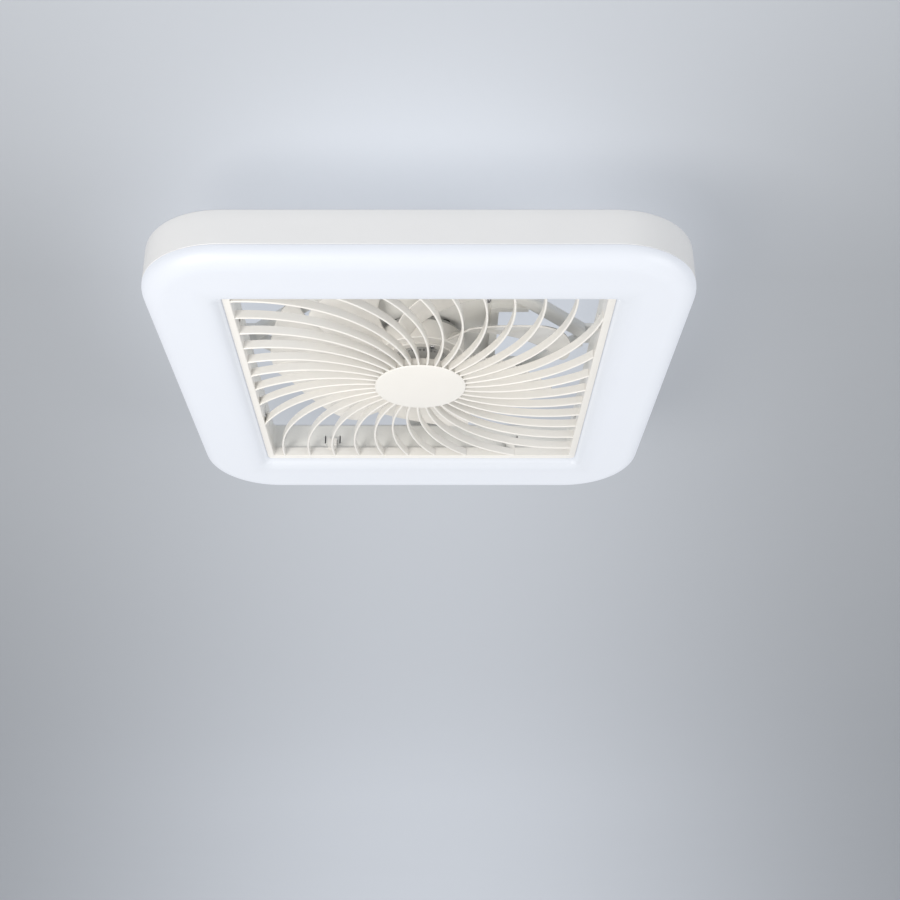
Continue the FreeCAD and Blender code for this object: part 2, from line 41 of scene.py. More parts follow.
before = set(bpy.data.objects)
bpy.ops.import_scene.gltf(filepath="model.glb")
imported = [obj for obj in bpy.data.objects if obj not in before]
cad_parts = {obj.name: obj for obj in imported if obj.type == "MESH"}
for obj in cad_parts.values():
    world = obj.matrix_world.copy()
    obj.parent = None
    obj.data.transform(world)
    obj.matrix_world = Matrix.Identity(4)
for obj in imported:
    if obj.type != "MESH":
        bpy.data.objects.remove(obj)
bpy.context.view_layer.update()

MM = 0.001
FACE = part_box("diffuser_ring")[0].z           # height of the light's lowest face
BODY_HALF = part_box("body_shell")[1].x         # half the outside width
BODY_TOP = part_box("body_shell")[1].z
SHELL_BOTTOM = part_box("body_shell")[0].z
CAP_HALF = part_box("hub_cap")[1].x
CAP_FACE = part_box("hub_cap")[0].z
GRILLE_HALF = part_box("grille")[1].x
GRILLE_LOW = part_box("grille")[0].z
GRILLE_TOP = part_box("grille")[1].z
TIP_RADIUS = 154 * MM
HUB_RADIUS = 46.5 * MM
HUB_BOTTOM = FACE + 43 * MM
HUB_TOP = FACE + 65 * MM
BLADE_ROOT_DEPTH = 72 * MM                    # from the tip to where a blade meets the drum


def level(height):
    """Height in metres above the light's lowest face, as a z in the frame."""
    return FACE + height


# ---------------------------------------------------------------- settings

class FanLightBodySizes(bpy.types.PropertyGroup):
    corner: FloatProperty(
        name="Body corner", description="Radius of the body's corners in plan",
        default=80 * MM, unit="LENGTH")
    wall: FloatProperty(
        name="Shell wall", description="Thickness of the moulded body shell",
        default=2.5 * MM, unit="LENGTH")
    top_round: FloatProperty(
        name="Top edge", description="Rounding between the side and the top of the shell",
        default=2.0 * MM, unit="LENGTH")
    skin: FloatProperty(
        name="Diffuser wall", description="Thickness of the diffuser",
        default=2.0 * MM, unit="LENGTH")
    edge_round: FloatProperty(
        name="Diffuser edge", description="Width of the diffuser's rounded outer edge",
        default=19 * MM, unit="LENGTH")
    lip_half: FloatProperty(
        name="Opening", description="Half the width of the opening in the diffuser",
        default=179.5 * MM, unit="LENGTH")
    lip_corner: FloatProperty(
        name="Opening corner", description="Corner radius of the opening",
        default=6 * MM, unit="LENGTH")
    lip_rise: FloatProperty(
        name="Inner edge rise", description="Height of the curved inner edge of the diffuser",
        default=11 * MM, unit="LENGTH")
    lip_round: FloatProperty(
        name="Inner edge width", description="Width of the curved inner edge of the diffuser",
        default=12 * MM, unit="LENGTH")


class FanLightGrilleSizes(bpy.types.PropertyGroup):
    rib_count: IntProperty(
        name="Ribs", description="Number of curved ribs", default=35, min=6, max=90)
    rib_width: FloatProperty(
        name="Rib width", description="Thickness of a rib at its lower edge",
        default=2.1 * MM, unit="LENGTH")
    rib_depth: FloatProperty(
        name="Rib depth", description="Height of a rib from its lower to its upper edge",
        default=9 * MM, unit="LENGTH")
    rib_curve: FloatProperty(
        name="Rib curve", description="Radius of the arc that a rib follows",
        default=156 * MM, unit="LENGTH")
    rib_first: FloatProperty(
        name="First rib", description="Direction in which the first rib leaves the collar",
        default=math.radians(1.1), unit="ROTATION")
    collar: FloatProperty(
        name="Collar", description="Outer radius of the collar that the ribs start from",
        default=44.5 * MM, unit="LENGTH")


class FanLightImpellerSizes(bpy.types.PropertyGroup):
    blades: IntProperty(name="Blades", description="Number of blades", default=7, min=2, max=12)
    skin: FloatProperty(
        name="Blade thickness", description="Greatest thickness of a blade",
        default=2.2 * MM, unit="LENGTH")
    tip_angle: FloatProperty(
        name="Tip angle", description="Direction of the first blade's lower tip corner",
        default=math.radians(-33), unit="ROTATION")


class FanLightColours(bpy.types.PropertyGroup):
    shell: FloatVectorProperty(
        name="Shell", description="Painted side of the body", subtype="COLOR",
        default=(0.80, 0.80, 0.80), min=0, max=1)
    diffuser: FloatVectorProperty(
        name="Diffuser", description="Frosted plastic of the lit ring", subtype="COLOR",
        default=(0.43, 0.45, 0.485), min=0, max=1)
    light: FloatVectorProperty(
        name="Light", description="Colour of the light through the diffuser", subtype="COLOR",
        default=(0.88, 0.915, 1.0), min=0, max=1)
    moulding: FloatVectorProperty(
        name="Moulding", description="Warm white plastic of grille and impeller",
        subtype="COLOR", default=(0.83, 0.81, 0.772), min=0, max=1)
    duct: FloatVectorProperty(
        name="Duct", description="Plastic of the duct and the rear frame", subtype="COLOR",
        default=(0.82, 0.815, 0.785), min=0, max=1)
    ceiling: FloatVectorProperty(
        name="Ceiling", description="Painted ceiling behind the light", subtype="COLOR",
        default=(0.25, 0.262, 0.28), min=0, max=1)


class FanLightStage(bpy.types.PropertyGroup):
    light: FloatProperty(
        name="Ring light", description="Strength of the light through the diffuser",
        default=0.385, min=0)
    key: FloatProperty(name="Key light", description="Power of the light from the front left",
                       default=33, min=0, subtype="POWER")
    fill: FloatProperty(name="Fill light", description="Power of the light from the right",
                        default=25, min=0, subtype="POWER")
    sky: FloatProperty(name="Surroundings", description="Strength of the even light all round",
                       default=0.345, min=0)
    ceiling_glow: FloatProperty(
        name="Ceiling glow", description="Even light that the ceiling gives back",
        default=0.10, min=0)
    # Painted light: a lobe of light painted along the ceiling in front of the light.
    painted_lobe: FloatProperty(
        name="Lobe", description="Light that falls along the ceiling from the front",
        default=0.23, min=0)
    # Painted light: a pool of light painted on the ceiling round the light, standing in for what the
    # ring throws there.
    painted_halo: FloatProperty(
        name="Halo", description="Light that the ring throws on the ceiling round it",
        default=0.18, min=0)


# ---------------------------------------------------------------- mesh building

class Stock:
    """Vertices and faces gathered for one piece."""

    def __init__(self):
        self.verts = []
        self.faces = []

    def points(self, points):
        first = len(self.verts)
        self.verts.extend(tuple(p) for p in points)
        return list(range(first, len(self.verts)))

    def grid(self, rows, wrap_rows=False, wrap_columns=False):
        """Quads between rows of points. Returns the rows as vertex numbers."""
        numbered = [self.points(row) for row in rows]
        row_pairs = list(zip(numbered, numbered[1:]))
        if wrap_rows:
            row_pairs.append((numbered[-1], numbered[0]))
        for a, b in row_pairs:
            count = len(a)
            last = count if wrap_columns else count - 1
            for k in range(last):
                n = (k + 1) % count
                self.faces.append((a[k], a[n], b[n], b[k]))
        return numbered

    def cap(self, ring):
        self.faces.append(tuple(ring))

    def bar(self, rows):
        """Closed solid through a row of closed cross-sections, capped at both ends."""
        numbered = self.grid(rows, wrap_columns=True)
        self.cap(list(reversed(numbered[0])))
        self.cap(numbered[-1])

    def lathe(self, profile, steps=96, centre=(0, 0)):
        """Turn a closed outline of (radius, z) about a vertical axis."""
        rows = []
        for k in range(steps):
            angle = 2 * math.pi * k / steps
            c, s = math.cos(angle), math.sin(angle)
            rows.append([(centre[0] + r * c, centre[1] + r * s, z) for r, z in profile])
        self.grid(rows, wrap_rows=True, wrap_columns=True)

    def lathe_open(self, profile, steps=96, centre=(0, 0)):
        """Turn an outline that starts and ends on the axis, closed by a point at each end."""
        ends = self.points([(centre[0], centre[1], profile[0][1]),
                            (centre[0], centre[1], profile[-1][1])])
        rows = []
        for k in range(steps):
            angle = 2 * math.pi * k / steps
            c, s = math.cos(angle), math.sin(angle)
            rows.append([(centre[0] + r * c, centre[1] + r * s, z) for r, z in profile[1:-1]])
        numbered = self.grid(rows, wrap_rows=True)
        for k in range(steps):
            a, b = numbered[k], numbered[(k + 1) % steps]
            self.faces.append((ends[0], b[0], a[0]))
            self.faces.append((ends[1], a[-1], b[-1]))

    def square_rings(self, rings):
        """Closed skin through rounded squares given as (half width, corner radius, z)."""
        rows = [rounded_square(half, corner, z) for half, corner, z in rings]
        self.grid(rows, wrap_rows=True, wrap_columns=True)

    def block(self, low, high, edge=0.0004):
        """Box with chamfered edges."""
        rows = []
        for z, inset in ((low[2], edge), (low[2] + edge, 0), (high[2] - edge, 0), (high[2], edge)):
            x0, x1 = low[0] + inset, high[0] - inset
            y0, y1 = low[1] + inset, high[1] - inset
            cut = edge
            rows.append([(x0 + cut, y0, z), (x1 - cut, y0, z), (x1, y0 + cut, z), (x1, y1 - cut, z),
                         (x1 - cut, y1, z), (x0 + cut, y1, z), (x0, y1 - cut, z), (x0, y0 + cut, z)])
        self.bar(rows)

    def add(self, other, matrix):
        first = len(self.verts)
        self.verts.extend(tuple(matrix @ Vector(v)) for v in other.verts)
        self.faces.extend(tuple(first + k for k in face) for face in other.faces)


CORNER_STEPS = 18
SIDE_STEPS = 12


def rounded_square(half, corner, z):
    """Points round a rounded square, starting on the +X side."""
    straight = half - corner
    points = []
    for turn in range(4):
        c, s = math.cos(turn * math.pi / 2), math.sin(turn * math.pi / 2)
        local = [(half, -straight + 2 * straight * k / SIDE_STEPS) for k in range(SIDE_STEPS)]
        for k in range(CORNER_STEPS):
            angle = math.pi / 2 * k / CORNER_STEPS
            local.append((straight + corner * math.cos(angle), straight + corner * math.sin(angle)))
        points += [(x * c - y * s, x * s + y * c, z) for x, y in local]
    return points


def arc(centre, radii, start, end, steps):
    """Points (a, b) along an elliptical arc, angles in degrees."""
    points = []
    for k in range(steps + 1):
        angle = math.radians(start + (end - start) * k / steps)
        points.append((centre[0] + radii[0] * math.cos(angle),
                       centre[1] + radii[1] * math.sin(angle)))
    return points


def make_piece(name, stock, body, material, replaced=(), sharp=38):
    """Turn gathered geometry into a piece that rides on a body."""
    mesh = bpy.data.meshes.new(name)
    mesh.from_pydata(stock.verts, [], stock.faces)
    work = bmesh.new()
    work.from_mesh(mesh)
    bmesh.ops.recalc_face_normals(work, faces=work.faces)
    work.to_mesh(mesh)
    work.free()
    mesh.validate()
    mesh.shade_smooth()
    mesh.set_sharp_from_angle(angle=math.radians(sharp))
    mesh.materials.append(material)
    piece = bpy.data.objects.new(name, mesh)
    bpy.context.scene.collection.objects.link(piece)
    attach(piece, body)
    for node in replaced:
        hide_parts(node)
    return piece


# ---------------------------------------------------------------- shader building

def sockets(group, *wanted):
    """Give a node group its named sockets: (name, "in" or "out", kind, default)."""
    for name, way, kind, default in wanted:
        made = group.interface.new_socket(
            name=name, in_out="INPUT" if way == "in" else "OUTPUT", socket_type="NodeSocket" + kind)
        if default is not None:
            made.default_value = default


class Shader:
    """Short calls for adding and joining nodes in one tree."""

    def __init__(self, tree):
        self.tree = tree

    def node(self, kind, **values):
        made = self.tree.nodes.new(kind)
        for name, value in values.items():
            setattr(made, name, value)
        return made

    def join(self, output, target):
        self.tree.links.new(output, target)

    def feed(self, target, value):
        if isinstance(value, bpy.types.NodeSocket):
            self.join(value, target)
        else:
            target.default_value = value

    def math(self, operation, *values):
        made = self.node("ShaderNodeMath", operation=operation)
        for target, value in zip(made.inputs, values):
            self.feed(target, value)
        return made.outputs[0]

    def mix(self, share, first, second):
        made = self.node("ShaderNodeMix", data_type="RGBA")
        self.feed(made.inputs["Factor"], share)
        self.feed(made.inputs["A"], first)
        self.feed(made.inputs["B"], second)
        return made.outputs["Result"]

    def ramp(self, value, low, high, to_low=0.0, to_high=1.0, smooth=True):
        made = self.node("ShaderNodeMapRange",
                         interpolation_type="SMOOTHSTEP" if smooth else "LINEAR")
        for name, amount in (("Value", value), ("From Min", low), ("From Max", high),
                             ("To Min", to_low), ("To Max", to_high)):
            self.feed(made.inputs[name], amount)
        return made.outputs["Result"]

    def place(self):
        return self.node("ShaderNodeTexCoord").outputs["Object"]

    def noise(self, scale, detail=3.0, place=None):
        made = self.node("ShaderNodeTexNoise")
        self.feed(made.inputs["Vector"], place or self.place())
        self.feed(made.inputs["Scale"], scale)
        made.inputs["Detail"].default_value = detail
        return made.outputs["Fac"]


    def bump(self, height, distance, strength=1.0):
        made = self.node("ShaderNodeBump")
        made.inputs["Distance"].default_value = distance
        self.feed(made.inputs["Strength"], strength)
        self.join(height, made.inputs["Height"])
        return made.outputs["Normal"]

    def skin(self, group, bsdf):
        """Join a surface group's outputs to the material's shader."""
        for output, target in (("Colour", "Base Color"), ("Roughness", "Roughness"),
                               ("Normal", "Normal")):
            self.join(group.outputs[output], bsdf.inputs[target])


def make_group(name, *wanted):
    tree = bpy.data.node_groups.new(name, "ShaderNodeTree")
    sockets(tree, *wanted)
    shader = Shader(tree)
    return tree, shader, shader.node("NodeGroupInput"), shader.node("NodeGroupOutput")


def moulded_skin_group():
    """Colour drift, roughness drift and fine moulding texture for plastic and paint."""
    tree, s, inp, out = make_group(
        "moulded_skin",
        ("Colour", "in", "Color", (0.8, 0.8, 0.8, 1)), ("Drift", "in", "Float", 0.03),
        ("Grain Scale", "in", "Float", 900.0), ("Roughness", "in", "Float", 0.4),
        ("Roughness Drift", "in", "Float", 0.08), ("Grain Depth", "in", "Float", 0.1),
        ("Colour", "out", "Color", None), ("Roughness", "out", "Float", None),
        ("Normal", "out", "Vector", None))
    broad = s.noise(14.0, 4.0)
    fine = s.noise(inp.outputs["Grain Scale"], 2.0)
    darker = s.math("SUBTRACT", 1.0, inp.outputs["Drift"])
    shade = s.ramp(broad, 0.3, 0.7, darker, 1.0)
    tint = s.node("ShaderNodeMix", data_type="RGBA", blend_type="MULTIPLY")
    tint.inputs["Factor"].default_value = 1.0
    s.join(inp.outputs["Colour"], tint.inputs["A"])
    grey = s.node("ShaderNodeCombineColor")
    for channel in grey.inputs:
        s.join(shade, channel)
    s.join(grey.outputs[0], tint.inputs["B"])
    s.join(tint.outputs["Result"], out.inputs["Colour"])
    swing = s.math("MULTIPLY", s.math("SUBTRACT", broad, 0.5), inp.outputs["Roughness Drift"])
    s.join(s.math("ADD", inp.outputs["Roughness"], swing), out.inputs["Roughness"])
    s.join(s.bump(fine, 0.2 * MM, inp.outputs["Grain Depth"]), out.inputs["Normal"])
    return tree


def brushed_group():
    """Fine lines along one direction for rolled, turned or brushed metal."""
    tree, s, inp, out = make_group(
        "brushed_lines",
        ("Colour", "in", "Color", (0.6, 0.6, 0.6, 1)), ("Stretch", "in", "Vector", (1, 1, 1)),
        ("Roughness", "in", "Float", 0.35), ("Depth", "in", "Float", 0.15),
        ("Colour", "out", "Color", None), ("Roughness", "out", "Float", None),
        ("Normal", "out", "Vector", None))
    scaled = s.node("ShaderNodeVectorMath", operation="MULTIPLY")
    s.join(s.place(), scaled.inputs[0])
    s.join(inp.outputs["Stretch"], scaled.inputs[1])
    lines = s.noise(600.0, 3.0, scaled.outputs[0])
    stain = s.noise(25.0, 3.0)
    dull = s.mix(s.ramp(stain, 0.35, 0.75, 0.0, 0.35), inp.outputs["Colour"],
                 (0.30, 0.30, 0.31, 1))
    s.join(dull, out.inputs["Colour"])
    spread = s.ramp(lines, 0.2, 0.8, -0.08, 0.12)
    s.join(s.math("ADD", inp.outputs["Roughness"], spread), out.inputs["Roughness"])
    s.join(s.bump(lines, 0.1 * MM, inp.outputs["Depth"]), out.inputs["Normal"])
    return tree


def dust_group():
    """Soft dust that settles on faces that look up."""
    tree, s, inp, out = make_group(
        "settled_dust",
        ("Colour", "in", "Color", (0.8, 0.8, 0.8, 1)), ("Amount", "in", "Float", 0.3),
        ("Colour", "out", "Color", None))
    geometry = s.node("ShaderNodeNewGeometry")
    parts = s.node("ShaderNodeSeparateXYZ")
    s.join(geometry.outputs["Normal"], parts.inputs[0])
    upward = s.ramp(parts.outputs["Z"], 0.3, 0.95)
    cloud = s.ramp(s.noise(160.0, 8.0), 0.30, 0.8)
    share = s.math("MULTIPLY", s.math("MULTIPLY", upward, cloud), inp.outputs["Amount"])
    s.join(s.mix(share, inp.outputs["Colour"], (0.42, 0.40, 0.37, 1)), out.inputs["Colour"])
    return tree


SPOT_PITCH, SPOT_ROW, SPOT_REACH = 8.7 * MM, 237 * MM, 156 * MM
SPOT_SHARPNESS = -160000.0


def ring_light_group():
    """Light through the diffuser: even over the face, weaker beside the opening and blended toward a
    darker colour there as painted shade of the curved inner edge, brighter on the lip and up the
    rounded outer edge as painted light that lifts their shade, with faint spots under the rows of
    light-emitting chips."""
    tree, s, inp, out = make_group(
        "ring_light",
        ("Light", "in", "Color", (1, 1, 1, 1)), ("Painted Shade", "in", "Color", (0.8, 0.85, 0.9, 1)),
        ("Spot Strength", "in", "Float", 0.16), ("Light", "out", "Color", None))
    place = s.node("ShaderNodeSeparateXYZ")
    s.join(s.place(), place.inputs[0])
    x = s.math("ABSOLUTE", place.outputs["X"])
    y = s.math("ABSOLUTE", place.outputs["Y"])
    reach = s.math("MAXIMUM", x, y)
    # Painted shade: the light falls off towards the opening, standing in for the shade of the curved
    # inner edge.
    inner = s.ramp(reach, 0.178, 0.205)
    height = s.math("SUBTRACT", place.outputs["Z"], FACE)
    # Painted light: brighter up the rounded outer edge towards the seam, lifting its shade.
    outer = s.ramp(height, 0.003, 0.0165, 1.0, 1.1)
    # Painted light: brighter on the lip, lifting the shade at the opening.
    lip = s.ramp(reach, 0.1795, 0.1815, 1.6, 1.0)
    painted_shade_and_lip_light = s.math("MULTIPLY", s.ramp(inner, 0, 1, 0.88, 1.0, smooth=False), lip)
    glow = s.math("MULTIPLY", painted_shade_and_lip_light, outer)
    spots = 0.0
    for along, across in ((place.outputs["X"], y), (place.outputs["Y"], x)):
        cell = s.math("SUBTRACT", s.math("FRACT", s.math("DIVIDE", along, SPOT_PITCH)), 0.5)
        near = s.math("MULTIPLY", cell, SPOT_PITCH)
        off = s.math("SUBTRACT", across, SPOT_ROW)
        square = s.math("ADD", s.math("MULTIPLY", near, near), s.math("MULTIPLY", off, off))
        spot = s.math("EXPONENT", s.math("MULTIPLY", square, SPOT_SHARPNESS))
        inside = s.math("LESS_THAN", s.math("ABSOLUTE", along), SPOT_REACH)
        spots = s.math("ADD", s.math("MULTIPLY", spot, inside), spots)
    glow = s.math("ADD", glow, s.math("MULTIPLY", spots, inp.outputs["Spot Strength"]))
    shaded = s.mix(glow, (0, 0, 0, 1), inp.outputs["Light"])
    # Painted shade: near the opening the light is blended toward a darker colour.
    s.join(s.mix(s.ramp(inner, 0.0, 0.6, 0.25, 0.0), shaded, inp.outputs["Painted Shade"]),
           out.inputs["Light"])
    return tree


def new_material(name):
    material = bpy.data.materials.new(name)
    material.use_nodes = True
    shader = Shader(material.node_tree)
    return material, shader, material.node_tree.nodes["Principled BSDF"]


def use_group(shader, tree, **values):
    made = shader.node("ShaderNodeGroup", node_tree=tree)
    for name, value in values.items():
        made.inputs[name.replace("_", " ")].default_value = value
    return made


def solid(colour):
    return (*colour, 1.0)


class Finishes:
    """Every material of the light, made once."""

    def __init__(self, colours, stage):
        self.skin = moulded_skin_group()
        self.lines = brushed_group()
        self.dust = dust_group()
        self.ring = ring_light_group()
        moulding = tuple(colours.moulding)
        duct = tuple(colours.duct)
        white, grey = (0.70, 0.70, 0.67), (0.45, 0.45, 0.44)
        # finish, material, colour, roughness, drift, grain scale, grain depth, coat, dust
        for finish, name, *values in (
                ("shell", "shell_paint", tuple(colours.shell), 0.38, 0.015, 1400, 0.05, 0.15, 0.10),
                ("grille", "grille_plastic", moulding, 0.30, 0.02, 1800, 0.04, 0.2, 0),
                ("impeller", "impeller_plastic", moulding, 0.24, 0.02, 1500, 0.03, 0.3, 0.10),
                ("duct", "duct_plastic", duct, 0.42, 0.03, 900, 0.10, 0, 0.10),
                ("rear", "rear_frame_plastic", duct, 0.45, 0.04, 700, 0.14, 0, 0.14),
                ("canopy", "canopy_powder", (0.76, 0.76, 0.74), 0.5, 0.03, 2200, 0.30, 0, 0.10),
                ("motor_plate", "motor_plate_paint", grey, 0.42, 0.05, 1600, 0.15, 0, 0),
                ("can", "can_paint", (0.42, 0.42, 0.41), 0.40, 0.12, 2400, 0.25, 0.1, 0),
                ("rubber", "black_rubber", (0.02, 0.02, 0.02), 0.75, 0.2, 1500, 0.25, 0, 0),
                ("case", "driver_case", white, 0.5, 0.04, 900, 0.2, 0, 0),
                ("control", "controller_case", (0.09, 0.09, 0.10), 0.5, 0.1, 900, 0.2, 0, 0),
                ("strip", "strip_board", (0.80, 0.80, 0.78), 0.35, 0.03, 600, 0.05, 0, 0),
                ("board", "motor_board", (0.02, 0.11, 0.05), 0.35, 0.15, 600, 0.10, 0, 0),
                ("ferrite", "ferrite", (0.03, 0.028, 0.03), 0.6, 0.2, 1800, 0.3, 0, 0)):
            setattr(self, finish, self.moulded(name, *values))
        # finish, material, colour, stretch of the lines, roughness
        for finish, name, *values in (
                ("steel", "turned_steel", (0.56, 0.56, 0.57), (1, 1, 60), 0.30),
                ("zinc", "zinc_plate", (0.74, 0.75, 0.77), (8, 0.6, 8), 0.38),
                ("aluminium", "tray_aluminium", (0.72, 0.73, 0.74), (0.5, 20, 20), 0.36),
                ("bright", "bright_zinc", (0.68, 0.68, 0.70), (10, 10, 10), 0.22),
                ("lamination", "lamination", (0.30, 0.31, 0.32), (1, 1, 120), 0.45)):
            setattr(self, finish, self.metal(name, *values))
        self.copper = self.wound("enamelled_copper")
        self.chip = self.lit_chip("chip_phosphor")
        self.diffuser = self.lit_ring("lit_diffuser", colours, stage)

    def moulded(self, name, colour, rough, drift, grain, depth, coat, dust):
        material, s, bsdf = new_material(name)
        skin = use_group(s, self.skin, Colour=solid(colour), Drift=drift, Grain_Scale=grain,
                         Roughness=rough, Grain_Depth=depth)
        s.skin(skin, bsdf)
        if dust:
            settled = use_group(s, self.dust, Amount=dust)
            s.join(skin.outputs["Colour"], settled.inputs["Colour"])
            s.join(settled.outputs["Colour"], bsdf.inputs["Base Color"])
        bsdf.inputs["Coat Weight"].default_value = coat
        bsdf.inputs["Coat Roughness"].default_value = 0.15
        return material

    def metal(self, name, colour, stretch, rough):
        material, s, bsdf = new_material(name)
        lines = use_group(s, self.lines, Colour=solid(colour), Stretch=stretch, Roughness=rough)
        s.skin(lines, bsdf)
        bsdf.inputs["Metallic"].default_value = 1.0
        return material

    def wound(self, name):
        """Turns of enamelled copper wire, one beside the other."""
        material, s, bsdf = new_material(name)
        wave = s.node("ShaderNodeTexWave", wave_type="BANDS", bands_direction="Z")
        s.join(s.place(), wave.inputs["Vector"])
        wave.inputs["Scale"].default_value = 420.0
        wave.inputs["Distortion"].default_value = 1.2
        s.join(s.mix(wave.outputs["Fac"], (0.20, 0.06, 0.02, 1), (0.72, 0.30, 0.13, 1)),
               bsdf.inputs["Base Color"])
        s.join(s.bump(wave.outputs["Fac"], 0.3 * MM), bsdf.inputs["Normal"])
        bsdf.inputs["Metallic"].default_value = 0.8
        bsdf.inputs["Roughness"].default_value = 0.3
        return material

    def lit_chip(self, name):
        material, s, bsdf = new_material(name)
        s.join(s.mix(s.noise(900.0), (0.80, 0.62, 0.10, 1), (0.85, 0.75, 0.25, 1)),
               bsdf.inputs["Base Color"])
        bsdf.inputs["Emission Color"].default_value = (1.0, 0.98, 0.92, 1)
        bsdf.inputs["Emission Strength"].default_value = 2.0
        bsdf.inputs["Roughness"].default_value = 0.4
        return material

    def lit_ring(self, name, colours, stage):
        material, s, bsdf = new_material(name)
        skin = use_group(s, self.skin, Colour=solid(colours.diffuser), Drift=0.01,
                         Grain_Scale=1500.0, Roughness=0.42, Grain_Depth=0.05)
        s.skin(skin, bsdf)
        ring = use_group(s, self.ring, Light=solid(colours.light))
        s.join(ring.outputs["Light"], bsdf.inputs["Emission Color"])
        bsdf.inputs["Emission Strength"].default_value = stage.light
        return material


made = {}


def finishes(context):
    """The materials, built the first time that an operator needs them."""
    if "finishes" not in made:
        scene = context.scene
        made["finishes"] = Finishes(scene.fan_light_colours, scene.fan_light_stage)
    return made["finishes"]


def dress(node, material):
    """Give a CAD node its finish."""
    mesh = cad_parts[node].data
    mesh.materials.clear()
    mesh.materials.append(material)


# ---------------------------------------------------------------- stage

CEILING_GAP = 0.0004
SHEET_HALF = 40.0             # half the width of the ceiling and of the floor
FLOOR_DROP = 2.4              # floor below the light
CAMERA_PLACE = (0.0096, -1.098, level(-0.5643))
CAMERA_TILT = math.radians(24.61)
CAMERA_LENS = 47.85
CAMERA_SHIFT = 0.0227
KEY_PLACE, KEY_SIZE = (-1.15, -1.2, level(-1.5)), (1.2, 1.2)
FILL_PLACE, FILL_SIZE = (2.4, -1.2, level(-1.2)), (1.6, 1.6)
# Place and spread of the painted halo and of the painted lobe of light on the ceiling.
PAINTED_HALO_RADIUS, PAINTED_HALO_WIDTH = 0.17, 0.14
PAINTED_LOBE_START, PAINTED_LOBE_SPREAD = 1.1, 0.3


def aim(thing, place, target):
    thing.location = place
    thing.rotation_euler = (Vector(target) - Vector(place)).to_track_quat("-Z", "Y").to_euler()


def add_area_light(name, place, target, size, power, colour=(1, 1, 1)):
    light = bpy.data.lights.new(name, "AREA")
    light.shape = "RECTANGLE"
    light.size, light.size_y = size
    light.energy = power
    light.color = colour
    lamp = bpy.data.objects.new(name, light)
    bpy.context.scene.collection.objects.link(lamp)
    aim(lamp, place, target)
    return lamp


def bell(shader, value):
    """1 where the value is 0, falling off smoothly to both sides."""
    return shader.math("EXPONENT", shader.math("MULTIPLY", shader.math("MULTIPLY", value, value),
                                               -1.0))


def one_sided(material, s, bsdf):
    """Show the surface only from its front, so that it hides nothing seen from behind."""
    output = material.node_tree.nodes["Material Output"]
    clear = s.node("ShaderNodeBsdfTransparent")
    both = s.node("ShaderNodeMixShader")
    s.join(s.node("ShaderNodeNewGeometry").outputs["Backfacing"], both.inputs["Fac"])
    s.join(bsdf.outputs[0], both.inputs[1])
    s.join(clear.outputs[0], both.inputs[2])
    s.join(both.outputs[0], output.inputs["Surface"])


def backdrop_sheet(name, z, material, facing_down):
    mesh = bpy.data.meshes.new(name)
    half = SHEET_HALF
    corners = [(-half, -half, z), (half, -half, z), (half, half, z), (-half, half, z)]
    order = (3, 2, 1, 0) if facing_down else (0, 1, 2, 3)
    mesh.from_pydata(corners, [], [order])
    mesh.materials.append(material)
    sheet = bpy.data.objects.new(name, mesh)
    bpy.context.scene.collection.objects.link(sheet)
    return sheet


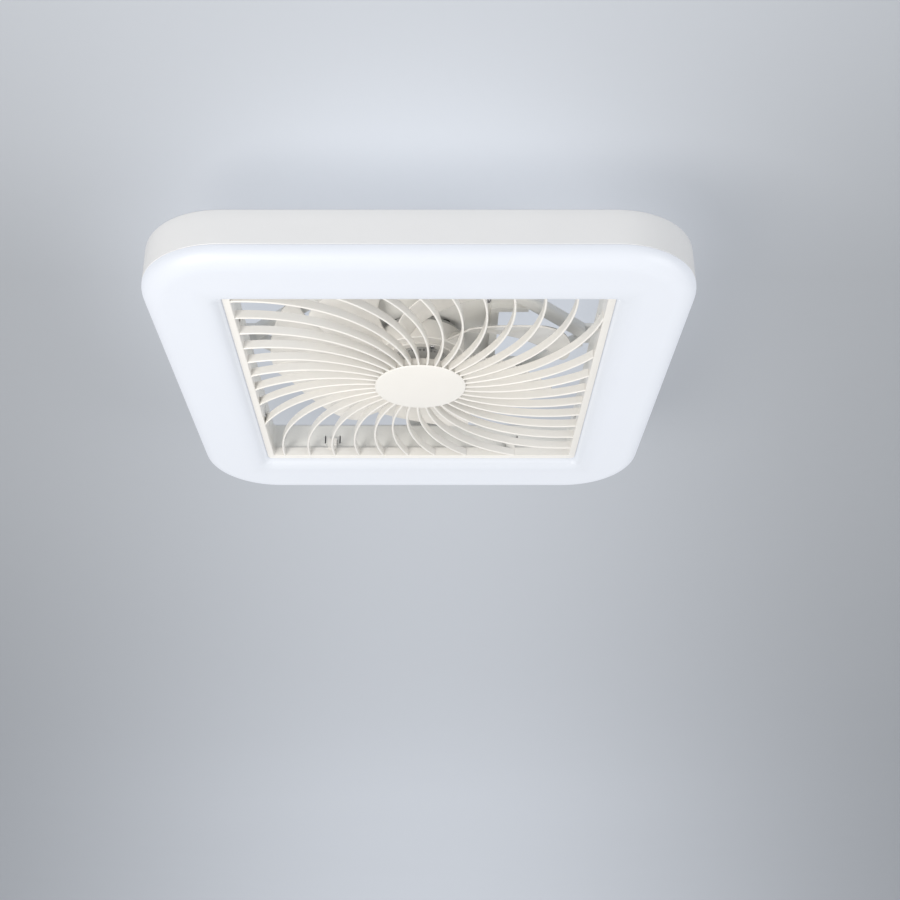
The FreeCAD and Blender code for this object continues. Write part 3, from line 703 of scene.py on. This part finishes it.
class FANLIGHT_OT_stage(bpy.types.Operator):
    """Place the camera, the lights, the ceiling and the floor"""
    bl_idname = "fanlight.stage"
    bl_label = "Stage"

    def execute(self, context):
        scene = context.scene
        settings = scene.fan_light_stage
        camera = bpy.data.cameras.new("camera")
        camera.sensor_width = 36
        camera.lens = CAMERA_LENS
        camera.shift_x = CAMERA_SHIFT
        eye = bpy.data.objects.new("camera", camera)
        scene.collection.objects.link(eye)
        eye.location = CAMERA_PLACE
        eye.rotation_euler = (math.pi / 2 + CAMERA_TILT, 0, 0)
        scene.camera = eye
        world = bpy.data.worlds.new("surroundings")
        world.use_nodes = True
        backing = world.node_tree.nodes["Background"]
        backing.inputs["Color"].default_value = (0.95, 0.97, 1.0, 1)
        backing.inputs["Strength"].default_value = settings.sky
        scene.world = world
        scene.view_settings.view_transform = "Standard"
        centre = (0, 0, level(0.03))
        add_area_light("key", KEY_PLACE, centre, KEY_SIZE, settings.key, (1.0, 0.97, 0.925))
        add_area_light("fill", FILL_PLACE, centre, FILL_SIZE, settings.fill, (1.0, 0.99, 0.97))
        # The ceiling's emission paints light on it: a halo round the light and a lobe along the
        # ceiling in front, over an even glow.
        ceiling, s, bsdf = new_material("ceiling_with_painted_light")
        away = s.node("ShaderNodeVectorMath", operation="LENGTH")
        s.join(s.place(), away.inputs[0])
        ring = s.math("DIVIDE", s.math("SUBTRACT", away.outputs["Value"], PAINTED_HALO_RADIUS),
                      PAINTED_HALO_WIDTH)
        painted_halo = s.math("MULTIPLY", bell(s, ring), settings.painted_halo)
        spot = s.node("ShaderNodeSeparateXYZ")
        s.join(s.place(), spot.inputs[0])
        # Painted light: the lobe along the ceiling widens and grows brighter away from the light.
        start = s.math("ADD", s.math("ABSOLUTE", spot.outputs["Y"]), PAINTED_LOBE_START)
        spread = s.math("MULTIPLY", start, PAINTED_LOBE_SPREAD)
        far = s.ramp(spot.outputs["Y"], 0.6, 4.0, 0.95, 1.4)
        painted_lobe = s.math("MULTIPLY", bell(s, s.math("DIVIDE", spot.outputs["X"], spread)),
                      s.math("MULTIPLY", far, settings.painted_lobe))
        glow = s.math("ADD", s.math("ADD", painted_halo, painted_lobe), settings.ceiling_glow)
        s.join(s.mix(glow, (0, 0, 0, 1), (0.93, 0.985, 1.08, 1)), bsdf.inputs["Emission Color"])
        bsdf.inputs["Emission Strength"].default_value = 1.0
        tone = s.mix(s.noise(1.3, 5.0), solid(scene.fan_light_colours.ceiling),
                     solid(tuple(c * 1.05 for c in scene.fan_light_colours.ceiling)))
        s.join(tone, bsdf.inputs["Base Color"])
        bsdf.inputs["Roughness"].default_value = 0.9
        one_sided(ceiling, s, bsdf)
        backdrop_sheet("ceiling", CEILING_GAP, ceiling, True)
        floor, s, bsdf = new_material("floor_paint")
        s.join(s.mix(s.noise(2.0, 5.0), (0.68, 0.68, 0.67, 1), (0.73, 0.73, 0.72, 1)),
               bsdf.inputs["Base Color"])
        bsdf.inputs["Roughness"].default_value = 0.8
        bsdf.inputs["Emission Color"].default_value = (1.0, 0.985, 0.965, 1)
        bsdf.inputs["Emission Strength"].default_value = settings.sky
        backdrop_sheet("floor", level(-FLOOR_DROP), floor, False)
        return {"FINISHED"}


# ---------------------------------------------------------------- body shell and diffuser

class FANLIGHT_OT_shell(bpy.types.Operator):
    """Make the white moulded shell with its vertical side and flat top"""
    bl_idname = "fanlight.shell"
    bl_label = "Body shell"

    def execute(self, context):
        sizes = context.scene.fan_light_body
        corner, wall, r = sizes.corner, sizes.wall, sizes.top_round
        hole_half = 176 * MM
        rings = [(BODY_HALF - wall, corner - wall, SHELL_BOTTOM),
                 (BODY_HALF - 0.3 * MM, corner, SHELL_BOTTOM),
                 (BODY_HALF, corner, SHELL_BOTTOM + 0.3 * MM),
                 (BODY_HALF, corner, BODY_TOP - r - 8 * MM)]
        rings += [(BODY_HALF - r + a, corner - r + a, BODY_TOP - r + b)
                  for a, b in arc((0, 0), (r, r), 0, 90, 6)]
        rings += [(BODY_HALF - 6 * MM, corner - 6 * MM, BODY_TOP),
                  (BODY_HALF - 30 * MM, corner - 30 * MM, BODY_TOP),
                  (hole_half + 8 * MM, 14 * MM, BODY_TOP),
                  (hole_half + 0.5 * MM, 6.5 * MM, BODY_TOP),
                  (hole_half, 6 * MM, BODY_TOP - 0.5 * MM),
                  (hole_half, 6 * MM, BODY_TOP - wall),
                  (hole_half + 8 * MM, 14 * MM, BODY_TOP - wall),
                  (BODY_HALF - 30 * MM, corner - 30 * MM, BODY_TOP - wall),
                  (BODY_HALF - wall - 4 * MM, corner - wall - 4 * MM, BODY_TOP - wall),
                  (BODY_HALF - wall, corner - wall, BODY_TOP - wall - 2 * MM)]
        stock = Stock()
        stock.square_rings(rings)
        make_piece("body_shell_skin", stock, "fixture", finishes(context).shell,
                   ["body_shell"])
        return {"FINISHED"}


class FANLIGHT_OT_diffuser(bpy.types.Operator):
    """Make the frosted ring that the light shines through"""
    bl_idname = "fanlight.diffuser"
    bl_label = "Diffuser ring"

    def execute(self, context):
        sizes = context.scene.fan_light_body
        corner, skin = sizes.corner, sizes.skin
        wide, seam = sizes.edge_round, SHELL_BOTTOM - 0.6 * MM
        tall = seam - FACE
        lip, lip_corner = sizes.lip_half, sizes.lip_corner
        rise, run = sizes.lip_rise, sizes.lip_round
        rings = []
        for a, b in arc((-wide, tall), (wide, tall), 0, -90, 20):
            rings.append((BODY_HALF + a, corner + a, FACE + b))
        for share in (0.25, 0.5, 0.75):
            a = -wide - share * 21 * MM
            rings.append((BODY_HALF + a, corner + a, FACE))
        rings += [(lip + 20 * MM, lip_corner + 20 * MM, FACE)]
        for a, b in arc((run, rise), (run, rise), 270, 180, 14):
            rings.append((lip + a, lip_corner + a, FACE + b))
        rings += [(lip, lip_corner, FACE + 13.6 * MM), (lip + 0.4 * MM, lip_corner, FACE + 14 * MM),
                  (lip + skin, lip_corner + skin, FACE + 14 * MM)]
        for a, b in arc((run + skin, rise + skin), (run, rise), 180, 270, 10):
            rings.append((lip + a, lip_corner + a, FACE + b))
        rings += [(lip + 22 * MM, lip_corner + 22 * MM, FACE + skin),
                  (BODY_HALF - 40 * MM, corner - 40 * MM, FACE + skin)]
        for a, b in arc((-wide, tall), (wide - skin, tall - skin), -90, -25, 12):
            rings.append((BODY_HALF + a, corner + a, FACE + b))
        rings += [(BODY_HALF - 5 * MM, corner - 5 * MM, FACE + 9 * MM),
                  (BODY_HALF - 5 * MM, corner - 5 * MM, FACE + 20.7 * MM),
                  (BODY_HALF - 4.7 * MM, corner - 4.7 * MM, FACE + 21 * MM),
                  (BODY_HALF - 3.3 * MM, corner - 3.3 * MM, FACE + 21 * MM),
                  (BODY_HALF - 3 * MM, corner - 3 * MM, FACE + 20.7 * MM),
                  (BODY_HALF - 3 * MM, corner - 3 * MM, seam),
                  (BODY_HALF - 0.3 * MM, corner - 0.3 * MM, seam)]
        stock = Stock()
        stock.square_rings(rings)
        make_piece("diffuser_skin", stock, "fixture", finishes(context).diffuser,
                   ["diffuser_ring"])
        return {"FINISHED"}


# ---------------------------------------------------------------- grille and cap

def rib_path(sizes, limit, start, steps=30):
    """Points and sideways directions along one rib, from the collar to the square frame."""
    centre = Vector((sizes.collar - 1.5 * MM, -sizes.rib_curve))
    turn = Matrix.Rotation(start, 2)

    def at(angle):
        out = Vector((math.sin(angle), math.cos(angle)))
        return turn @ (centre + sizes.rib_curve * out), turn @ out

    low, high = 0.0, math.radians(90)
    for _ in range(40):
        middle = (low + high) / 2
        point, _ = at(middle)
        if max(abs(point.x), abs(point.y)) < limit:
            low = middle
        else:
            high = middle
    return [at(low * k / steps) for k in range(steps + 1)]


def rib_section(point, side, half, bottom, top):
    """Closed cross-section of a rib: rounded lower edge, slightly thinner towards the top."""
    outline = [(-0.78 * half, top), (-0.97 * half, bottom + 1.6 * half)]
    outline += arc((0, bottom + half), (half, half), 180, 360, 8)
    outline += [(0.97 * half, bottom + 1.6 * half), (0.78 * half, top)]
    return [(point.x + side.x * across, point.y + side.y * across, z) for across, z in outline]


class FANLIGHT_OT_grille(bpy.types.Operator):
    """Make the swirl grille: square frame, curved ribs and the collar in the middle"""
    bl_idname = "fanlight.grille"
    bl_label = "Swirl grille"

    def execute(self, context):
        sizes = context.scene.fan_light_grille
        outer, inner = 173.5 * MM, 171.5 * MM
        low, lip_top = GRILLE_LOW, level(11.6 * MM)
        stock = Stock()
        edge = 0.5 * MM
        stock.square_rings([
            (inner, 2 * MM, low + edge), (inner + edge, 2.4 * MM, low),
            (GRILLE_HALF - edge, 4.6 * MM, low), (GRILLE_HALF, 5 * MM, low + edge),
            (GRILLE_HALF, 5 * MM, lip_top - edge), (GRILLE_HALF - edge, 4.6 * MM, lip_top),
            (outer + edge, 3.6 * MM, lip_top), (outer, 3.4 * MM, lip_top + edge),
            (outer, 3.4 * MM, GRILLE_TOP - edge), (outer - edge, 3 * MM, GRILLE_TOP),
            (inner + edge, 2.4 * MM, GRILLE_TOP), (inner, 2 * MM, GRILLE_TOP - edge)])
        bottom = level(10 * MM)
        for k in range(sizes.rib_count):
            start = sizes.rib_first + 2 * math.pi * k / sizes.rib_count
            path = rib_path(sizes, inner + 0.3 * MM, start)
            stock.bar([rib_section(p, side, sizes.rib_width / 2, bottom, bottom + sizes.rib_depth)
                       for p, side in path])
        r, base = sizes.collar, level(10.6 * MM)
        top = level(20 * MM)
        stock.lathe([(r, base + edge), (r, top - edge), (r - edge, top), (r - 2 * MM, top),
                     (r - 2.5 * MM, top - edge), (r - 2.5 * MM, base + 2 * MM + edge),
                     (r - 3 * MM, base + 2 * MM), (6 * MM, base + 2 * MM), (6 * MM, base),
                     (r - edge, base)])
        make_piece("swirl_grille", stock, "cover", finishes(context).grille,
                   ["grille"])
        return {"FINISHED"}


class FANLIGHT_OT_cap(bpy.types.Operator):
    """Make the shallow domed cap in the middle of the grille"""
    bl_idname = "fanlight.cap"
    bl_label = "Hub cap"

    def execute(self, context):
        edge_top = level(10.4 * MM)
        rise = 2.0 * MM
        ball = (CAP_HALF ** 2 + rise ** 2) / (2 * rise)
        profile = [(0, CAP_FACE)]
        for k in range(1, 14):
            r = (CAP_HALF - 1.2 * MM) * k / 13
            profile.append((r, CAP_FACE + ball - math.sqrt(ball ** 2 - r ** 2)))
        rim = profile[-1][1]
        profile += arc((CAP_HALF - 1.2 * MM, rim + 1.0 * MM), (1.2 * MM, 1.0 * MM), -70, 60, 6)
        profile += [(CAP_HALF - 1.0 * MM, edge_top), (42 * MM, edge_top), (0, edge_top)]
        stock = Stock()
        stock.lathe_open(profile, 128)
        make_piece("domed_cap", stock, "cover", finishes(context).grille,
                   ["hub_cap"])
        return {"FINISHED"}


# ---------------------------------------------------------------- impeller

def blade_edges(sizes, radius):
    """Directions of a blade's lower and upper edge at a radius."""
    inward = (TIP_RADIUS - radius) / MM
    swept = min(inward, BLADE_ROOT_DEPTH / MM)
    near_drum = inward - swept
    low = -0.19 * swept - 0.0013 * swept ** 2
    high = 45 - 0.41 * inward - 0.004 * near_drum ** 2
    return sizes.tip_angle + math.radians(low), sizes.tip_angle + math.radians(high)


def blade_height(radius, share):
    out = (radius - HUB_RADIUS) / (TIP_RADIUS - HUB_RADIUS)
    low = 43.5 - 11 * out
    high = 59.0 - out
    return level((low + (high - low) * share + 1.8 * math.sin(math.pi * share)) * MM)


def blade_point(sizes, along, share):
    """Point of a blade's middle surface; along is 0 at the hub and 1 at the tip."""
    reach = TIP_RADIUS + (5 * share - 8 * abs(2 * share - 1) ** 8) * MM
    root = HUB_RADIUS - 1.5 * MM
    radius = root + (reach - root) * along
    low, high = blade_edges(sizes, radius)
    angle = low + (high - low) * share
    return Vector((radius * math.cos(angle), radius * math.sin(angle),
                   blade_height(radius, share) + 1.1 * MM))


def blade_stock(sizes):
    """One blade with a rounded outline, thin at its edges."""
    rows_count, columns = 26, 30
    stock = Stock()
    under, over = [], []
    step = 0.01
    for i in range(rows_count + 1):
        along = (i / rows_count) ** 0.85
        low_row, high_row = [], []
        for j in range(columns + 1):
            share = 0.5 - 0.5 * math.cos(math.pi * j / columns)
            point = blade_point(sizes, along, share)
            a = blade_point(sizes, min(along + step, 1), share) - blade_point(
                sizes, max(along - step, 0), share)
            b = blade_point(sizes, along, min(share + step, 1)) - blade_point(
                sizes, along, max(share - step, 0))
            normal = a.cross(b).normalized()
            near_edge = min(share, 1 - share) * 60 * MM
            near_tip = (1 - along) * 110 * MM
            thin = min(1, 0.35 + math.sqrt(min(near_edge, near_tip + 0.02 * MM) / (6 * MM)))
            half = sizes.skin / 2 * thin
            low_row.append(point - normal * half)
            high_row.append(point + normal * half)
        under.append(low_row)
        over.append(high_row)
    loops = [low + list(reversed(high)) for low, high in zip(under, over)]
    stock.bar(loops)
    return stock


class FANLIGHT_OT_impeller(bpy.types.Operator):
    """Make the impeller: drum, floor, stiffening webs and swept blades"""
    bl_idname = "fanlight.impeller"
    bl_label = "Impeller"

    def execute(self, context):
        sizes = context.scene.fan_light_impeller
        stock = Stock()
        edge, r = 0.8 * MM, HUB_RADIUS
        floor = HUB_BOTTOM + 2.5 * MM
        stock.lathe([(r - edge, HUB_BOTTOM), (r, HUB_BOTTOM + edge), (r, HUB_TOP - edge),
                     (r - edge, HUB_TOP), (r - 1.7 * MM, HUB_TOP), (r - 2.5 * MM, HUB_TOP - edge),
                     (r - 2.5 * MM, floor + edge), (r - 3.3 * MM, floor), (11 * MM, floor),
                     (11 * MM, HUB_BOTTOM + 9 * MM), (8 * MM, HUB_BOTTOM + 9 * MM),
                     (8 * MM, HUB_BOTTOM + 2 * MM), (6 * MM, HUB_BOTTOM + 2 * MM),
                     (6 * MM, HUB_BOTTOM)], 112)
        web = Stock()
        web.block((10.5 * MM, -0.9 * MM, floor - 0.3 * MM),
                  (r - 2 * MM, 0.9 * MM, HUB_BOTTOM + 8 * MM))
        for k in range(8):
            stock.add(web, Matrix.Rotation(math.radians(45 * k), 4, "Z"))
        blade = blade_stock(sizes)
        for k in range(sizes.blades):
            stock.add(blade, Matrix.Rotation(2 * math.pi * k / sizes.blades, 4, "Z"))
        make_piece("bladed_impeller", stock, "rotor", finishes(context).impeller,
                   ["impeller"])
        return {"FINISHED"}


# ---------------------------------------------------------------- motor can

def ring_sector(stock, radii, heights, start, end, steps=4):
    """Closed piece of a ring between two radii, two heights and two directions in degrees."""
    (r0, r1), (z0, z1) = radii, heights
    rows = []
    for k in range(steps + 1):
        angle = math.radians(start + (end - start) * k / steps)
        c, s = math.cos(angle), math.sin(angle)
        rows.append([(r * c, r * s, z) for r, z in ((r0, z0), (r1, z0), (r1, z1), (r0, z1))])
    stock.bar(rows)


def pillars(stock, radii, heights, count, gap):
    """Pillars round a ring, with a gap of the given width between one and the next."""
    pitch = 360 / count
    opening = math.degrees(gap / radii[1])
    for k in range(count):
        ring_sector(stock, radii, heights, k * pitch + opening / 2, (k + 1) * pitch - opening / 2)


class FANLIGHT_OT_motor_can(bpy.types.Operator):
    """Make the vented motor can and the light ring that screws it to the impeller"""
    bl_idname = "fanlight.motor_can"
    bl_label = "Motor can"

    def execute(self, context):
        outer, inner = 30 * MM, 28 * MM
        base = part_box("rotor_can")[0].z
        sheet = base + 2 * MM
        edge = 0.4 * MM
        low_vents = (level(25 * MM), level(27.2 * MM))
        high_vents = (level(37.0 * MM), level(38.2 * MM))
        top = level(41.2 * MM)
        stock = Stock()
        stock.lathe([(23 * MM, base), (outer - 1.5 * MM, base), (outer - 0.4 * MM, base + 0.45 * MM),
                     (outer, base + 1.5 * MM), (outer, low_vents[0] - edge),
                     (outer - edge, low_vents[0]), (inner + edge, low_vents[0]),
                     (inner, low_vents[0] - edge), (inner, sheet + edge), (inner - edge, sheet),
                     (23 * MM, sheet)])
        stock.lathe([(5.6 * MM, base + edge), (6 * MM, base), (14 * MM, base), (14 * MM, sheet),
                     (10.5 * MM, sheet), (10.5 * MM, base + 7 * MM), (8 * MM, base + 7 * MM),
                     (8 * MM, sheet), (5.6 * MM, sheet)], 64)
        for k in range(9):
            slot, next_slot = 40 * k, 40 * (k + 1)
            ring_sector(stock, (13.8 * MM, 23.2 * MM), (base + 0.02 * MM, sheet - 0.02 * MM),
                        slot + 6, next_slot - 6, 6)
        middle = (low_vents[1], high_vents[0])
        for z0, z1 in (middle, (high_vents[1], top)):
            stock.lathe([(inner, z0 + edge), (inner + edge, z0), (outer - edge, z0),
                         (outer, z0 + edge), (outer, z1 - edge), (outer - edge, z1),
                         (inner + edge, z1), (inner, z1 - edge)])
        wall = (inner + 0.1 * MM, outer - 0.1 * MM)
        pillars(stock, wall, (low_vents[0] - edge, low_vents[1] + edge), 18, 4.4 * MM)
        pillars(stock, wall, (high_vents[0] - edge, high_vents[1] + edge), 48, 1.8 * MM)
        make_piece("motor_can_shell", stock, "rotor", finishes(context).can,
                   ["rotor_can"])
        ring = Stock()
        low, high, rim = level(41 * MM), level(43 * MM), 37 * MM
        ring.lathe([(inner, low), (rim - edge, low), (rim, low + edge), (rim, high - edge),
                    (rim - edge, high), (inner, high)])
        make_piece("motor_can_ring", ring, "rotor", finishes(context).impeller,
                   ["rotor_can"])
        return {"FINISHED"}


# ---------------------------------------------------------------- screws

def cross_outline(arm, half_width, z):
    """Outline of a cross recess, 12 points to each quarter turn."""
    corners = [(arm, 0), (arm, half_width), (half_width, half_width), (half_width, arm), (0, arm)]
    quarter = []
    for (x0, y0), (x1, y1), steps in zip(corners, corners[1:], (2, 4, 4, 2)):
        quarter += [(x0 + (x1 - x0) * k / steps, y0 + (y1 - y0) * k / steps)
                    for k in range(steps)]
    points = []
    for turn in range(4):
        c, s = math.cos(turn * math.pi / 2), math.sin(turn * math.pi / 2)
        points += [(x * c - y * s, x * s + y * c, z) for x, y in quarter]
    return points


def circle(radius, z, steps=48):
    return [(radius * math.cos(2 * math.pi * k / steps), radius * math.sin(2 * math.pi * k / steps),
             z) for k in range(steps)]


def screw_stock(shank, head, length, tall=1.8 * MM):
    """Pan-head screw with a cross recess: the head stands on z = 0, the shank goes down."""
    rows = [circle(shank * 0.7, -length), circle(shank, -length + 0.4 * MM), circle(shank, 0),
            circle(head - 0.15 * MM, 0), circle(head, 0.15 * MM)]
    for a, b in arc((head - 1.2 * MM, tall - 1.2 * MM), (1.2 * MM, 1.2 * MM), 0, 80, 6):
        rows.append(circle(a, b))
    rows += [cross_outline(0.55 * head, 0.13 * head, tall),
             cross_outline(0.50 * head, 0.11 * head, 0.6 * MM)]
    stock = Stock()
    stock.bar(rows)
    return stock


class FANLIGHT_OT_screws(bpy.types.Operator):
    """Make the pan-head screws of the feet, the frame, the canopy, the motor and its can"""
    bl_idname = "fanlight.screws"
    bl_label = "Screws"

    def execute(self, context):
        bright = finishes(context).bright
        over = Matrix.Rotation(math.pi, 4, "X")

        def batch(name, node, body, screw, places):
            stock = Stock()
            for place in places:
                stock.add(screw, place)
            make_piece(name, stock, body, bright, [node], sharp=30)

        def ring_places(radius, first, height, flip):
            return [Matrix.Rotation(math.radians(first + 90 * k), 4, "Z")
                    @ Matrix.Translation((radius, 0, height)) @ flip for k in range(4)]

        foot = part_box("foot_screws")
        foot_x = foot[1].x - 3.6 * MM
        seat = foot[1].z - 1.8 * MM
        batch("foot_screw_set", "foot_screws", "fixture", screw_stock(2 * MM, 3.6 * MM, 7 * MM),
              [Matrix.Rotation(math.pi / 2 * k, 4, "Z") @ Matrix.Translation((foot_x, side, seat))
               for k in range(4) for side in (-10 * MM, 10 * MM)])
        batch("frame_screw_set", "frame_screws", "fixture",
              screw_stock(2 * MM, 3.6 * MM, 9 * MM),
              [Matrix.Translation((x, y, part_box("frame_screws")[0].z + 1.8 * MM)) @ over
               for x in (-68 * MM, 68 * MM) for y in (-68 * MM, 68 * MM)])
        batch("motor_screw_set", "motor_screws", "fixture",
              screw_stock(2 * MM, 3.6 * MM, 9.5 * MM),
              ring_places(34 * MM, 45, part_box("motor_screws")[0].z + 1.8 * MM, over))
        batch("can_screw_set", "can_screws", "rotor", screw_stock(1.5 * MM, 2.8 * MM, 6 * MM),
              ring_places(33 * MM, 22.5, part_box("can_screws")[0].z + 1.8 * MM, over))
        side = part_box("canopy_screws")
        middle = (side[0].z + side[1].z) / 2
        batch("canopy_screw_set", "canopy_screws", "fixture",
              screw_stock(2 * MM, 3.8 * MM, 10 * MM, 2 * MM),
              ring_places(side[1].x - 2 * MM, 0, middle, Matrix.Rotation(math.pi / 2, 4, "Y")))
        return {"FINISHED"}


# ---------------------------------------------------------------- carried-over pieces

class FANLIGHT_OT_finish_parts(bpy.types.Operator):
    """Give every piece that keeps its CAD shape its own finish"""
    bl_idname = "fanlight.finish_parts"
    bl_label = "Finish inner parts"

    def execute(self, context):
        f = finishes(context)
        plan = {
            "led_tray": f.aluminium, "led_strips": f.strip, "led_chips": f.chip,
            "diffuser_clips": f.case, "inner_duct": f.duct, "motor_shaft": f.steel,
            "end_clip": f.steel, "stator_core": f.lamination, "windings": f.copper,
            "stator_board": f.board, "motor_plate": f.motor_plate, "isolators": f.rubber,
            "shaft_nut": f.bright, "rear_frame": f.rear,
            "canopy": f.canopy,
            "ceiling_plate": f.zinc, "cable_grommet": f.rubber,
            "terminal_block": f.case, "led_driver": f.case, "fan_controller": f.control,
            "magnet_ring": f.ferrite, "bearing_lower": f.steel,
            "bearing_upper": f.steel, "grille_clips": f.grille,
        }
        for node, material in plan.items():
            dress(node, material)
        return {"FINISHED"}


# ---------------------------------------------------------------- panel and run

STEPS = (FANLIGHT_OT_stage, FANLIGHT_OT_shell, FANLIGHT_OT_diffuser, FANLIGHT_OT_grille,
         FANLIGHT_OT_cap, FANLIGHT_OT_impeller, FANLIGHT_OT_motor_can, FANLIGHT_OT_screws,
         FANLIGHT_OT_finish_parts)
GROUPS = (FanLightBodySizes, FanLightGrilleSizes, FanLightImpellerSizes, FanLightColours,
          FanLightStage)
SETTINGS = {
    "fan_light_body": FanLightBodySizes, "fan_light_grille": FanLightGrilleSizes,
    "fan_light_impeller": FanLightImpellerSizes, "fan_light_colours": FanLightColours,
    "fan_light_stage": FanLightStage,
}


class FANLIGHT_PT_build(bpy.types.Panel):
    """Lists the steps that build the light"""
    bl_idname = "FANLIGHT_PT_build"
    bl_label = "Ceiling fan light"
    bl_space_type = "VIEW_3D"
    bl_region_type = "UI"
    bl_category = "Fan Light"

    def draw(self, context):
        for step in STEPS:
            self.layout.operator(step.bl_idname)
        for name, group in SETTINGS.items():
            column = self.layout.column()
            for prop in group.__annotations__:
                column.prop(getattr(context.scene, name), prop)


def register():
    for item in GROUPS + STEPS + (FANLIGHT_PT_build,):
        bpy.utils.register_class(item)
    for name, group in SETTINGS.items():
        setattr(bpy.types.Scene, name, PointerProperty(type=group))


def unregister():
    for name in SETTINGS:
        delattr(bpy.types.Scene, name)
    for item in reversed(GROUPS + STEPS + (FANLIGHT_PT_build,)):
        bpy.utils.unregister_class(item)


def main():
    register()
    bpy.ops.fanlight.stage()
    bpy.ops.fanlight.shell()
    bpy.ops.fanlight.diffuser()
    bpy.ops.fanlight.grille()
    bpy.ops.fanlight.cap()
    bpy.ops.fanlight.impeller()
    bpy.ops.fanlight.motor_can()
    bpy.ops.fanlight.screws()
    bpy.ops.fanlight.finish_parts()


if __name__ == "__main__":
    main()
